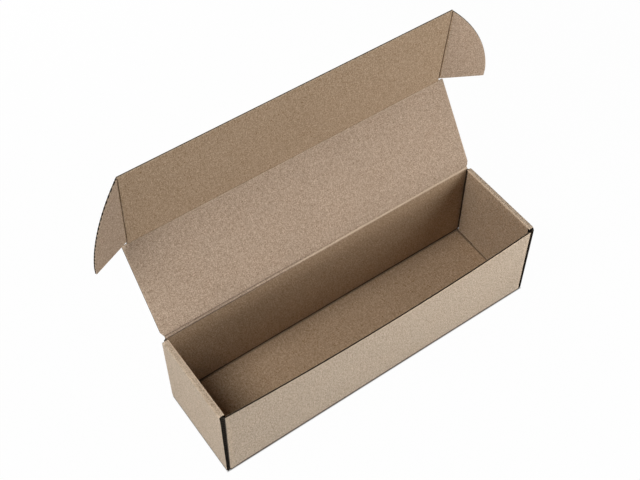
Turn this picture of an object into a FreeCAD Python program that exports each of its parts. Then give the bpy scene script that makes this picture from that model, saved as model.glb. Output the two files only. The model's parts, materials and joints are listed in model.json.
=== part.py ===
import FreeCAD, Part
import math
import os
from FreeCAD import Vector, Rotation, Placement

# Single-bottle gift box: a roll-end, tuck-front mailer folded from one blank of
# micro-flute corrugated board.  Millimetres.  +X runs along the length, the front
# wall faces -Y, +Z is up, and the origin is the middle of the underside.
# Nodes: tray (floor, walls, rolled ends and corner flaps, one folded sheet), lid,
# tuck_flap, left_ear and right_ear.  The lid is stored open, as it stands.

# ---- driving dimensions -----------------------------------------------------
LENGTH = 330.0            # outside, end panel to end panel
WIDTH = 91.0              # outside, front wall to rear wall, at the base
HEIGHT = 91.0             # underside to the top of the rolled ends
BOARD = 1.5               # board thickness
CREASE_R = 0.4            # radius on the inside of a crease
KNUCKLE_GAP = 0.1         # running gap in a hinged crease
LID_REST_GAP = 0.1        # shut lid above the rolled ends
LAYER_GAP = 0.3           # slack either side of a trapped corner flap
END_BAND = 5.3            # width of the rolled-over band on top of each end
BAND_FRONT_CUT = 2.3      # band's front end in from the front wall
BAND_REAR_CUT = 2.9       # and its rear end in from the rear wall
END_FRONT_TRIM = 1.2      # outer panel's front edge in from the front wall's face
END_FRONT_CUT = 4.0       # corners cut off the outer panel: top front,
END_REAR_CUT = 4.8        # top rear,
END_FOOT_CUT_Y = 2.6      # and bottom rear, along the floor
END_FOOT_CUT_Z = 4.6      # and up the panel

FRONT_TOP = 89.5          # height of the front wall's cut edge
FRONT_BOW = 4.0           # how far the front wall's top edge bows outwards
FRONT_CORNER_SOFTEN = 2.4  # extra crease radius at the top of the front corners

LID_INSET = 1.5           # lid edge in from the outside of each end
LID_CHAMFER_X = 2.2       # corner cut beside the lid hinge, along the hinge
LID_CHAMFER_S = 4.8       # and across the lid
FLAP_CLEARANCE = 0.4      # tucked flap to the inside of the front wall
EAR_CLEARANCE = 0.45      # folded ear to the inside of the end wall
TUCK_DEPTH = 88.0         # tuck flap, crease to free edge
EAR_REACH = 40.0          # ear, crease to tip
EAR_FOOT = 4.0            # start of the ear's lower edge above the tuck crease
EAR_TIP = 8.6             # height of the ear's tip above the tuck crease
EAR_HEAD = 87.0           # top of the ear's crease above the tuck crease
EAR_TIP_R = 0.8

CORNER_FLAP = 38.0        # reach of a trapped corner flap past its crease
FLAP_FOOT = 3.0           # lower edge of the corner flaps
FLAP_HEAD = 88.7          # top of a corner flap at its crease
FLAP_HEAD_FREE = 84.0     # and at its free edge
TAB_WIDTH = 42.0          # locking tab in the middle of the inner end panel
TAB_FOOT = 0.3            # how far the tab stops above the underside
TAB_NICK = 0.9            # its bevelled tips
PANEL_INSET = 3.8         # inner end panel in from the long walls at its foot
PANEL_TAPER = 0.3         # and how much more at its top
SLOT_GAP = 0.3            # slot clearance around the tab
PANEL_FLOOR_GAP = 0.5     # inner end panel above the floor

# ---- rest angles, degrees ---------------------------------------------------
LID_LEAN_DEG = 33.7       # open lid, leaning back from upright
TUCK_LEAN_DEG = 5.3       # tuck flap, leaning forward from upright
LEFT_EAR_TURN_DEG = 25.0  # ears turned in from the plane of the tuck flap
RIGHT_EAR_TURN_DEG = 33.0

# ---- derived ----------------------------------------------------------------
HALF_L = LENGTH / 2.0
HALF_W = WIDTH / 2.0
BEND_R = CREASE_R + BOARD                     # outside radius of a crease
MID = BOARD / 2.0
END_IN = HALF_L - END_BAND                    # inner face of the inner end panel
PANEL_OUT = END_IN + BOARD                    # its hidden face
FLAP_OUT = HALF_L - BOARD - LAYER_GAP         # outer face of a corner flap
FLAP_IN = FLAP_OUT - BOARD
WALL_END = FLAP_OUT - BEND_R                  # where the long walls start to turn
HINGE_Y = HALF_W - MID                        # lid hinge, middle of the rear wall
HINGE_Z = HEIGHT + LID_REST_GAP + MID         # so the shut lid lies on the ends
LID_DEPTH = HINGE_Y - MID + HALF_W - BOARD - FLAP_CLEARANCE
LID_HALF = HALF_L - LID_INSET
EAR_AXIS = END_IN - EAR_CLEARANCE - MID       # ear creases, either side of centre
KNUCKLE = MID + KNUCKLE_GAP                   # start of a hinged panel


def slab(x0, x1, y0, y1, z0, z1):
    """Box between two opposite corners."""
    return Part.makeBox(x1 - x0, y1 - y0, z1 - z0, Vector(x0, y0, z0))


def prism(points, plane, e0, e1):
    """Polygon drawn in a plane (XY, YZ or XZ) and pushed from e0 to e1."""
    place = {
        "XY": (lambda a, b: Vector(a, b, e0), Vector(0, 0, e1 - e0)),
        "YZ": (lambda a, b: Vector(e0, a, b), Vector(e1 - e0, 0, 0)),
        "XZ": (lambda a, b: Vector(a, e0, b), Vector(0, e1 - e0, 0)),
    }[plane]
    ring = [place[0](a, b) for a, b in points]
    return Part.Face(Part.makePolygon(ring + ring[:1])).extrude(place[1])


def crease(plane, centre, start, e0, e1, inside=CREASE_R):
    """Quarter turn of the board about a centre, from a start angle in degrees."""
    put = {
        "XY": lambda a, b: Vector(a, b, e0),
        "YZ": lambda a, b: Vector(e0, a, b),
        "XZ": lambda a, b: Vector(a, e0, b),
    }[plane]
    push = {"XY": Vector(0, 0, e1 - e0), "YZ": Vector(e1 - e0, 0, 0),
            "XZ": Vector(0, e1 - e0, 0)}[plane]

    def at(radius, angle):
        turn = math.radians(start + angle)
        return put(centre[0] + radius * math.cos(turn),
                   centre[1] + radius * math.sin(turn))

    outside = inside + BOARD
    edges = [
        Part.Arc(at(outside, 0), at(outside, 45), at(outside, 90)).toShape(),
        Part.makeLine(at(outside, 90), at(inside, 90)),
        Part.Arc(at(inside, 90), at(inside, 45), at(inside, 0)).toShape(),
        Part.makeLine(at(inside, 0), at(outside, 0)),
    ]
    return Part.Face(Part.Wire(edges)).extrude(push)


def joined(pieces):
    """Fuse pieces of one sheet and merge the faces that run on."""
    return pieces[0].fuse(pieces[1:]).removeSplitter()


def mirrored(shape):
    return shape.mirror(Vector(0, 0, 0), Vector(1, 0, 0))


def right_end():
    """Outer panel, rolled-over band and inner panel with its locking tab."""
    bend_x = HALF_L - BEND_R
    bend_top = HEIGHT - BEND_R
    in_x = END_IN + BEND_R
    band_front, band_rear = -HALF_W + BAND_FRONT_CUT, HALF_W - BAND_REAR_CUT
    edge = -HALF_W + END_FRONT_TRIM
    outer = [crease("XZ", (bend_x, BEND_R), -90, -HALF_W, HALF_W),
             slab(HALF_L - BOARD, HALF_L, -HALF_W, HALF_W, BEND_R, bend_top),
             crease("XZ", (bend_x, bend_top), 0, -HALF_W, HALF_W),
             slab(in_x, bend_x, -HALF_W, HALF_W, HEIGHT - BOARD, HEIGHT),
             crease("XZ", (in_x, bend_top), 90, -HALF_W, HALF_W)]
    outer = joined(outer)
    # die-cut outline of the outer panel and band, seen from the end
    outline = prism([(edge, -1), (HALF_W - END_FOOT_CUT_Y, -1), (HALF_W, END_FOOT_CUT_Z),
                     (HALF_W, HEIGHT - END_REAR_CUT), (band_rear, HEIGHT - BEND_R),
                     (band_rear, HEIGHT + 1), (band_front, HEIGHT + 1),
                     (band_front, HEIGHT - BEND_R), (edge, HEIGHT - END_FRONT_CUT)],
                    "YZ", END_IN - 1, HALF_L + 1)
    outer = outer.common(outline)
    foot = BOARD + PANEL_FLOOR_GAP
    tab = TAB_WIDTH / 2.0
    wide, narrow = HALF_W - PANEL_INSET, HALF_W - PANEL_INSET - PANEL_TAPER
    inner = prism([(-wide, foot), (-tab, foot), (-tab, TAB_FOOT + TAB_NICK),
                   (-tab + TAB_NICK, TAB_FOOT), (tab - TAB_NICK, TAB_FOOT),
                   (tab, TAB_FOOT + TAB_NICK), (tab, foot), (wide, foot),
                   (narrow, bend_top), (-narrow, bend_top)],
                  "YZ", END_IN, PANEL_OUT)
    return joined([outer, inner])


def floor():
    """Base panel with a slot at each end for the locking tabs."""
    reach = HALF_L - BEND_R
    base = slab(-reach, reach, -HALF_W + BEND_R, HALF_W - BEND_R, 0, BOARD)
    half = TAB_WIDTH / 2.0 + SLOT_GAP
    slot = slab(END_IN - SLOT_GAP, PANEL_OUT + SLOT_GAP, -half, half, -1, BOARD + 1)
    return base.cut([slot, mirrored(slot)])


def wall_section(z, soften, bow):
    """Level section through the front wall, its two corner creases and flaps."""
    inside = CREASE_R + soften
    outside = inside + BOARD
    cx, cy = FLAP_OUT - outside, -HALF_W + outside
    free = -HALF_W + BEND_R + CORNER_FLAP

    def corner(side, radius, first, last):
        pts = []
        for angle in (first, (first + last) / 2.0, last):
            a = math.radians(angle)
            pts.append(Vector(side * (cx + radius * math.cos(a)), cy + radius * math.sin(a), z))
        return Part.Arc(*pts).toShape()

    def run(y):
        return Part.Arc(Vector(cx, y, z), Vector(0, y - bow, z), Vector(-cx, y, z)).toShape()

    def line(x0, y0, x1, y1):
        return Part.makeLine(Vector(x0, y0, z), Vector(x1, y1, z))

    return Part.Wire([
        line(FLAP_IN, free, FLAP_OUT, free), line(FLAP_OUT, free, FLAP_OUT, cy),
        corner(1, outside, 0, -90), run(-HALF_W), corner(-1, outside, -90, 0),
        line(-FLAP_OUT, cy, -FLAP_OUT, free), line(-FLAP_OUT, free, -FLAP_IN, free),
        line(-FLAP_IN, free, -FLAP_IN, cy), corner(-1, inside, 0, -90),
        run(-HALF_W + BOARD).reversed(), corner(1, inside, -90, 0),
        line(FLAP_IN, cy, FLAP_IN, free)])


def flap_trim(front):
    """Waste cut off above a wall's corner flaps, at the right-hand end."""
    crease_y, free = HALF_W - BEND_R, HALF_W - BEND_R - CORNER_FLAP - 1
    edge = HALF_W + 1 if front else HALF_W + 4
    top = FRONT_TOP if front else FLAP_HEAD
    pts = [(edge, top), (crease_y, FLAP_HEAD), (free, FLAP_HEAD_FREE),
           (free, HEIGHT + 9), (edge, HEIGHT + 9)]
    side = -1 if front else 1
    start = WALL_END - FRONT_CORNER_SOFTEN if front else WALL_END
    return prism([(side * a, b) for a, b in pts], "YZ", start, HALF_L)


def front_wall():
    """Front wall, bowed a little at its free edge, with two corner flaps."""
    low = wall_section(FLAP_FOOT, 0.0, 0.02)
    high = wall_section(FRONT_TOP, FRONT_CORNER_SOFTEN, FRONT_BOW)
    wall = Part.makeLoft([low, high], True, True)
    trim = flap_trim(True)
    wall = wall.cut([trim, mirrored(trim)])
    foot = slab(-WALL_END, WALL_END, -HALF_W, -HALF_W + BOARD, BEND_R, FLAP_FOOT)
    turn = crease("YZ", (-HALF_W + BEND_R, BEND_R), 180, -WALL_END, WALL_END)
    return [wall, foot, turn]


def rear_wall():
    """Rear wall up to the lid hinge, with two corner flaps."""
    turn = crease("YZ", (HALF_W - BEND_R, BEND_R), -90, -WALL_END, WALL_END)
    sheet = slab(-WALL_END, WALL_END, HALF_W - BOARD, HALF_W, BEND_R, HINGE_Z)
    lip = Part.makeCylinder(MID, 2 * WALL_END, Vector(-WALL_END, HINGE_Y, HINGE_Z),
                            Vector(1, 0, 0))
    free = HALF_W - BEND_R - CORNER_FLAP
    flap = joined([crease("XY", (WALL_END, HALF_W - BEND_R), 0, FLAP_FOOT, FLAP_HEAD),
                   slab(FLAP_IN, FLAP_OUT, free, HALF_W - BEND_R, FLAP_FOOT, FLAP_HEAD)])
    flap = flap.cut(flap_trim(False))
    return [turn, sheet, lip, flap, mirrored(flap)]


def tray():
    """Everything below the lid hinge: one sheet, scored, folded and locked."""
    end = right_end()
    return joined([floor(), end, mirrored(end)] + front_wall() + rear_wall())


# Hinged panels are drawn upright, crease on the X axis, inner face towards -Y,
# and then swung to their rest angles.

def upright_lid():
    """Lid with cut corners at its hinge and a rounded crease at its far edge."""
    cut_x = LID_HALF - LID_CHAMFER_X
    outline = [(-cut_x, KNUCKLE), (cut_x, KNUCKLE), (LID_HALF, KNUCKLE + LID_CHAMFER_S),
               (LID_HALF, LID_DEPTH), (-LID_HALF, LID_DEPTH),
               (-LID_HALF, KNUCKLE + LID_CHAMFER_S)]
    sheet = prism(outline, "XZ", -MID, MID)
    lip = Part.makeCylinder(MID, 2 * LID_HALF, Vector(-LID_HALF, 0, LID_DEPTH), Vector(1, 0, 0))
    return joined([sheet, lip])


def upright_tuck():
    """Tuck flap with a rounded crease down each side for the ears."""
    sheet = slab(-EAR_AXIS, EAR_AXIS, -MID, MID, KNUCKLE, TUCK_DEPTH)
    lips = [Part.makeCylinder(MID, EAR_HEAD - EAR_FOOT, Vector(side * EAR_AXIS, 0, EAR_FOOT))
            for side in (-1, 1)]
    return joined([sheet] + lips)


def upright_ear():
    """Right-hand ear lying in the plane of the tuck flap, crease on the Z axis."""
    rise = EAR_HEAD - EAR_TIP
    radius = (rise ** 2 + EAR_REACH ** 2) / (2.0 * EAR_REACH)
    centre = EAR_REACH - radius
    first = math.asin((EAR_HEAD - EAR_TIP) / radius)

    def on_arc(angle):
        return Vector(centre + radius * math.cos(angle), 0, EAR_TIP + radius * math.sin(angle))

    start = math.acos((KNUCKLE - centre) / radius)
    a, b = Vector(KNUCKLE, 0, EAR_FOOT), Vector(EAR_REACH, 0, EAR_TIP)
    top = on_arc(start)
    edges = [Part.makeLine(a, b), Part.Arc(b, on_arc(min(first, start) / 2.0), top).toShape(),
             Part.makeLine(top, a)]
    face = Part.Face(Part.Wire(edges))
    sheet = face.extrude(Vector(0, BOARD, 0))
    sheet.translate(Vector(0, -MID, 0))
    tips = [e for e in sheet.Edges
            if abs(e.CenterOfMass.x - EAR_REACH) < 1e-3 and abs(e.CenterOfMass.z - EAR_TIP) < 1e-3]
    return sheet.makeFillet(EAR_TIP_R, tips)


def swung(shape, lean, y, z):
    """Lean an upright panel (positive leans back) and carry its crease to y, z."""
    out = shape.copy()
    lean_back = Placement(Vector(0, y, z), Rotation(Vector(1, 0, 0), -lean))
    out.Placement = lean_back.multiply(out.Placement)
    return out


def build():
    """All five nodes at rest."""
    lean = math.radians(LID_LEAN_DEG)
    tuck_y = HINGE_Y + LID_DEPTH * math.sin(lean)
    tuck_z = HINGE_Z + LID_DEPTH * math.cos(lean)
    ears = {}
    for name, side, turn in (("left_ear", -1, LEFT_EAR_TURN_DEG), ("right_ear", 1, RIGHT_EAR_TURN_DEG)):
        ear = upright_ear()
        if side < 0:
            ear = mirrored(ear)
        ear.rotate(Vector(0, 0, 0), Vector(0, 0, 1), -side * turn)
        ear.translate(Vector(side * EAR_AXIS, 0, 0))
        ears[name] = swung(ear, -TUCK_LEAN_DEG, tuck_y, tuck_z)
    return {
        "tray": tray(),
        "lid": swung(upright_lid(), LID_LEAN_DEG, HINGE_Y, HINGE_Z),
        "tuck_flap": swung(upright_tuck(), -TUCK_LEAN_DEG, tuck_y, tuck_z),
        "left_ear": ears["left_ear"],
        "right_ear": ears["right_ear"],
    }


def main():
    os.makedirs("parts", exist_ok=True)
    for name, shape in build().items():
        solids = shape.Solids
        box = shape.BoundBox
        print("%-10s solids %d valid %s volume %.0f  x %.2f..%.2f  y %.2f..%.2f  z %.2f..%.2f" % (
            name, len(solids), shape.isValid(), shape.Volume, box.XMin, box.XMax,
            box.YMin, box.YMax, box.ZMin, box.ZMax))
        solids[0].exportStep("parts/%s.step" % name)
    lean = math.radians(LID_LEAN_DEG)
    print("lid hinge y %.4f z %.4f   tuck hinge y %.4f z %.4f   ear axis x %.4f   lid depth %.3f" % (
        HINGE_Y, HINGE_Z, HINGE_Y + LID_DEPTH * math.sin(lean),
        HINGE_Z + LID_DEPTH * math.cos(lean), EAR_AXIS, LID_DEPTH))


if __name__ == "__main__":
    main()
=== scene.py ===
"""Bottle gift box in micro-flute kraft board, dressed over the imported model.

Every panel is built as the board is made: two flat liners and a waved medium between
them, cut to the blank's outline and folded.  Lengths are in millimetres until a mesh
is made.  A depth is measured from the printed side (outside) of the board inwards.
"""

import json
import math

import bpy
import numpy as np
from mathutils import Matrix, Vector


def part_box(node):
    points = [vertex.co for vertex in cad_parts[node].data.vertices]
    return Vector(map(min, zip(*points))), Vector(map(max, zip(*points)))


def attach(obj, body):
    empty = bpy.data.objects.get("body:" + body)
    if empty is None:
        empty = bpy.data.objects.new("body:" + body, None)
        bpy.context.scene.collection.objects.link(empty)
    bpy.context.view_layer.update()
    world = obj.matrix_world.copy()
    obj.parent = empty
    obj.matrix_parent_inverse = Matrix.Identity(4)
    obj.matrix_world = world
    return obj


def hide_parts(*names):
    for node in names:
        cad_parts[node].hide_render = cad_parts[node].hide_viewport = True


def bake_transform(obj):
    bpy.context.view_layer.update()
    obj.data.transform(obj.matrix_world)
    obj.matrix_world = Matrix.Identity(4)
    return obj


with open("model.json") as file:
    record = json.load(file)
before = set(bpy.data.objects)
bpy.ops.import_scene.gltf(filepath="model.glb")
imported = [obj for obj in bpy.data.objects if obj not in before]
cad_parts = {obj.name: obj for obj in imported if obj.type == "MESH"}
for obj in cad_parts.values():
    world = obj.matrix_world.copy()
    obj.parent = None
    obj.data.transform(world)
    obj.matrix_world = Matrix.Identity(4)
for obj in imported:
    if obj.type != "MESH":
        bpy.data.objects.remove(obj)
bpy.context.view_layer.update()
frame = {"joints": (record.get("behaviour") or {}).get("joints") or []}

bl_info = {
    "name": "Bottle gift box",
    "version": (1, 0, 0),
    "blender": (4, 5, 0),
    "location": "3D View > Sidebar > Gift box",
    "description": "Open corrugated bottle box with its folds, flutes and studio",
    "category": "Object",
}

MM = 0.001


def hinge(name):
    """Hinge position in millimetres and axis of a joint of the frame."""
    found = next(j for j in frame["joints"] if j["name"] == name)
    return np.array(found["pos_m"]) / MM, np.array(found["axis"])


# ---- sizes of the folded board, mm ----
HALF_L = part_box("tray")[1].x / MM
HALF_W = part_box("tray")[1].y / MM
BOARD = 1.5
MIDDLE = BOARD / 2
FOLD_R = 1.9                     # outside radius of a crease
LID_AT, _ = hinge("lid_hinge")
TUCK_AT, _ = hinge("tuck_hinge")
EAR_X = hinge("right_ear_hinge")[0][0]
LID_LEAN = math.atan2(TUCK_AT[1] - LID_AT[1], TUCK_AT[2] - LID_AT[2])
LID_DEPTH = math.hypot(TUCK_AT[1] - LID_AT[1], TUCK_AT[2] - LID_AT[2])
TUCK_LEAN = math.asin(hinge("left_ear_hinge")[1][1])      # forward, so below zero
EAR_TURN = {-1: math.radians(25.0), 1: math.radians(33.0)}
LID_GAP = 0.1                    # between the rolled ends and the shut lid
HEIGHT = LID_AT[2] - MIDDLE - LID_GAP
ROLL_WIDE = 5.3                  # thickness of a rolled end
END_IN = HALF_L - ROLL_WIDE      # inner face of an inner end panel
FLAP_GAP = 0.3                   # between an outer end panel and the corner flaps
WALL_OUT = HALF_L - BOARD - FLAP_GAP    # outer face of the trapped corner flaps
FRONT_TOP = 88.7
FRONT_BOW = 4.0
CORNER_IN = 2.4                  # top of the front corners drawn in behind the end panels
CORNER_FOOT = (1.0, 1.8)         # the same at the foot, left and right
CORNER_BACK = 3.0                # a drawn-in flap runs back out to its place over this
FLAP_FOOT = 3.0
FLAP_REACH = 38.0
LID_HALF = HALF_L - 1.5
LID_CORNER = (0.85, 5.65)        # heights between which a cut corner of the lid runs
LID_CORNER_IN = 2.2              # width that it takes off
TUCK_TOP = 88.0
EAR_REACH, EAR_FOOT, EAR_TIP, EAR_HEAD = 40.0, 4.0, 8.6, 87.0
EAR_LEVEL = 0.85                 # its lower edge is level up to here, then rises
END_FRONT = -HALF_W + 1.2        # front edge of an outer end panel
PANEL_TOP, PANEL_LOW = 41.4, 41.7    # half widths of an inner end panel
TAB_HALF = 21.0
ROLL_R = 1.1                     # radius of the roll's inner bend
SLOT = 0.3                       # play of a locking tab in its slot
LID_CREASE = 2.4                 # half width of the scored band at each crease
TUCK_CREASE = 1.6
EAR_CREASE = 1.4
SHORT = 1.7                      # the medium stops short of a cut along the flutes
SAMPLES = 12                     # points along one flute wave
STEP = 0.05                      # width given to a square step in an outline
NEAR = (0.0, 0.35, 0.9, 2.2)     # grid lines beside a cut edge
NEAR_ROOM = 2.2                  # they shrink on a row under this many times the last
WELDS = 1000                     # points this many to the millimetre are told apart
LEAST_WAVE = 0.01                # height left to the wave where the board is pressed flat
APART = 0.04                     # least distance between a wave's rows and the others
CREASE_LINES = 33                # grid lines across a crease
SHARP = math.radians(35.0)       # edges sharper than this are not smoothed over
TUCK_SHADE_BROWN = 0.9                 # share of the browner painted-shade copy of the inner liner on the tuck flap and its ear creases
EARS = ((-1, "left_ear"), (1, "right_ear"))

# camera: degrees round and above, then metres back, right and up from the origin
CAMERA_TURN, CAMERA_RISE = -35.44, 52.12
CAMERA_AT = (1.0324, -0.03017, 0.09161)


# ---- settings ----

def length(name, text, value, low, high, precision=5):
    return bpy.props.FloatProperty(name=name, description=text, default=value, min=low,
                                   max=high, unit="LENGTH", precision=precision)


def paint(name, text, colour):
    return bpy.props.FloatVectorProperty(name=name, description=text, default=colour,
                                         size=3, subtype="COLOR", min=0, max=1)


def power(name, text, watts):
    return bpy.props.FloatProperty(name=name, description=text, default=watts, min=0,
                                   unit="POWER")


def factor(name, text, value, high):
    return bpy.props.FloatProperty(name=name, description=text, default=value, min=0,
                                   max=high, subtype="FACTOR")


class BoardSizes(bpy.types.PropertyGroup):
    """Make-up of the corrugated board."""

    pitch: length("Flute pitch", "Distance from one flute to the next",
                  0.0036, 0.001, 0.01, 4)
    liner: length("Liner", "Thickness of each flat facing", 0.00022, 0.0001, 0.0004)
    medium: length("Medium", "Thickness of the waved sheet", 0.00016, 0.0001, 0.0004)
    crush: length("Crushed edge", "How far a cut edge along the flutes is pinched",
                  0.00034, 0.0, 0.0005)


class BoardColours(bpy.types.PropertyGroup):
    """Colours of the papers in the board."""

    outside: paint("Outer liner", "Paper on the outside of the box", (0.50, 0.402, 0.306))
    inside: paint("Inner liner", "Paper on the inside of the lid", (0.442, 0.328, 0.238))
    # Painted shade: kept is a darker, browner copy of the inner liner's colour, laid where the
    # paper lies in shade inside the tray, on the rolled ends and on the tuck flap; the inner
    # liner above is the lit copy.
    kept: paint("Kept brown", "The same paper where it is turned in out of the light",
                (0.41, 0.288, 0.183))
    # Painted shade: this near-black stands for the shade in the flute hollows, and also
    # colours the hidden sides of the liners that show in slits.
    medium: paint("Medium", "Waved paper seen at the cut edges", (0.06, 0.04, 0.025))
    edge: paint("Cut edge", "Fresh fibre along a cut", (0.68, 0.53, 0.385))
    mottle: factor("Mottle", "Strength of the cloudy fibre pattern", 1.0, 3)


class StudioSettings(bpy.types.PropertyGroup):
    """Floor, lamps and camera."""

    floor: paint("Floor", "Colour of the sweep the box stands on", (0.50, 0.50, 0.50))
    side: power("Side lamp", "Power of the round softbox high on the left", 7.75)
    front: power("Front lamp", "Power of the low round softbox in front", 2.4)
    strip: power("Strip lamp", "Power of the strip lying before the front wall", 0.76)
    low: power("Low lamp", "Power of the small softbox beside the left end", 0.6)
    rear: power("Rear lamp", "Power of the softbox behind the box", 4.0)
    fill: factor("Room light", "Strength of the even light all round", 0.04, 2)
    lens: bpy.props.FloatProperty(
        name="Lens", description="Focal length of the camera",
        default=63.34, min=20, max=200, unit="CAMERA")


# ---- folding ----

class Path:
    """Outer face of a folded strip in its own plane, by length.  It is made of straight
    runs and turns to the left; the board lies on the left of the path."""

    def __init__(self, start, heading, moves, turn_steps=10):
        (x, y), angle, length = start, math.radians(heading), 0.0
        rows = [(length, x, y, angle)]
        for kind, *size in moves:
            if kind == "run":
                length, x, y = length + size[0], x + size[0] * math.cos(angle), \
                    y + size[0] * math.sin(angle)
                rows.append((length, x, y, angle))
                continue
            radius, sweep = size[0], math.radians(size[1])
            cx, cy = x - radius * math.sin(angle), y + radius * math.cos(angle)
            for part in np.linspace(0, 1, turn_steps + 1)[1:]:
                a = angle + part * sweep
                rows.append((length + part * radius * sweep, cx + radius * math.sin(a),
                             cy - radius * math.cos(a), a))
            length, x, y, angle = rows[-1]
        self.stations, self.x, self.y, self.angle = np.array(rows).T
        self.length = length

    def at(self, along, depth):
        """Points at a length along the path and a depth into the board."""
        a = np.interp(along, self.stations, self.angle)
        return (np.interp(along, self.stations, self.x) - depth * np.sin(a),
                np.interp(along, self.stations, self.y) + depth * np.cos(a))


def union(*parts):
    """Sorted samples without repeats."""
    return np.unique(np.round(np.concatenate([np.atleast_1d(p) for p in parts]), 5))


def spaced(low, high, step):
    return np.linspace(low, high, max(1, int(round((high - low) / step))) + 1)


def between(low, high, middle):
    """Points from low to high for every row: the set distances from both ends, which
    shrink where a row is short, then even ones."""
    low, high = low[:, None], high[:, None]
    near = np.array(NEAR)[None] * np.minimum(1.0, (high - low) / (NEAR_ROOM * NEAR[-1]))
    inner_low, inner_high = low + near[:, -1:], high - near[:, -1:]
    even = np.linspace(0, 1, middle + 1)[None, 1:-1]
    return np.concatenate([low + near, inner_low + even * (inner_high - inner_low),
                           (high - near)[:, ::-1]], axis=1)


def each_row(values, grid):
    """One value to a row of the grid, repeated along it."""
    return np.repeat(values[:, None], grid.shape[1], axis=1)


class Region:
    """One area of the blank.

    grid(step) gives two arrays of points p, q, with lines a step apart across the flutes
    if one is given; fold(p, q, depth) carries them to their place; blank(p, q) is their
    place on the flat sheet, first along the flutes and then across them;
    squeeze(p, q, sheet) is how far the outer and inner liners are pressed in;
    marks(p, q) is how close a point is to a cut edge and how sharply the board bends
    there, which lightens the paper with raised fibre and on some edges and folds paints a
    highlight, and below zero paints shade; hole(p, q) is true where the sheet is cut away,
    and short(p, q) where the medium stops short of a cut; shade(p, q) is the painted shade
    of the inner liner in closed folds; kept(p, q) and inside(p, q) are the shares of a
    darker, browner copy of the outer and the inner liner's colour, painted shade where
    they are turned in out of the light."""

    def __init__(self, grid, fold, blank, squeeze, marks, hole=None, shade=None, short=None,
                 kept=None, inside=None):
        self.grid, self.fold, self.blank = grid, fold, blank
        self.squeeze, self.marks, self.hole = squeeze, marks, hole
        self.shade, self.short, self.kept, self.inside = shade, short, kept, inside


def bell(distance, width=0.7):
    """One at no distance, falling off as e to minus the square of distance over width."""
    return np.exp(-(distance / width) ** 2)


def smooth(t):
    """Smooth step: three t squared less two t cubed, for t from nought to one."""
    t = np.clip(t, 0, 1)
    return t * t * (3 - 2 * t)


def closeness(distance):
    """One at a cut edge, falling to nothing at the last of the lines beside it."""
    return np.clip(1 - distance / NEAR[-1], 0, 1)


def dense(rows, step):
    """Rows fine enough for the wave, with the region's own rows kept.  Without a step they
    are just the region's own."""
    if not step:
        return rows
    fine = spaced(rows[0], rows[-1], step)
    clear = np.abs(fine[:, None] - rows[None]).min(axis=1) > APART
    return union(rows, fine[clear])


def welded(p, q, *gone):
    """Points, quads and triangles of a grid.  Cells where one of the gone tests is true are
    left out, points less than a weld apart become one, and a quad with two corners in one
    becomes a triangle."""
    rows, cols = p.shape
    index = np.arange(rows * cols).reshape(rows, cols)
    p, q = p.ravel(), q.ravel()
    quads = np.stack([index[:-1, :-1], index[1:, :-1], index[1:, 1:], index[:-1, 1:]],
                     -1).reshape(-1, 4)
    for test in filter(None, gone):
        quads = quads[~test(p[quads].mean(1), q[quads].mean(1))]
    keys = np.round(np.stack([p, q], 1) * WELDS).astype(np.int64)
    _, first, weld = np.unique(keys, axis=0, return_index=True, return_inverse=True)
    quads = weld.reshape(-1)[quads]
    corners = (quads != np.roll(quads, -1, axis=1)).sum(1)
    skew = (quads[:, 0] == quads[:, 2]) | (quads[:, 1] == quads[:, 3])
    pinched = quads[(corners == 3) & ~skew]
    keep = pinched != np.roll(pinched, -1, axis=1)
    return p[first], q[first], quads[(corners == 4) & ~skew], pinched[keep].reshape(-1, 3)


def open_edges(*groups):
    """Edges that belong to one face only, the way round that face has them."""
    edges = np.concatenate([np.stack([f, np.roll(f, -1, axis=1)], -1).reshape(-1, 2)
                            for f in groups])
    _, back, count = np.unique(np.sort(edges, axis=1), axis=0, return_inverse=True,
                               return_counts=True)
    return edges[count[back.reshape(-1)] == 1]


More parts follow.
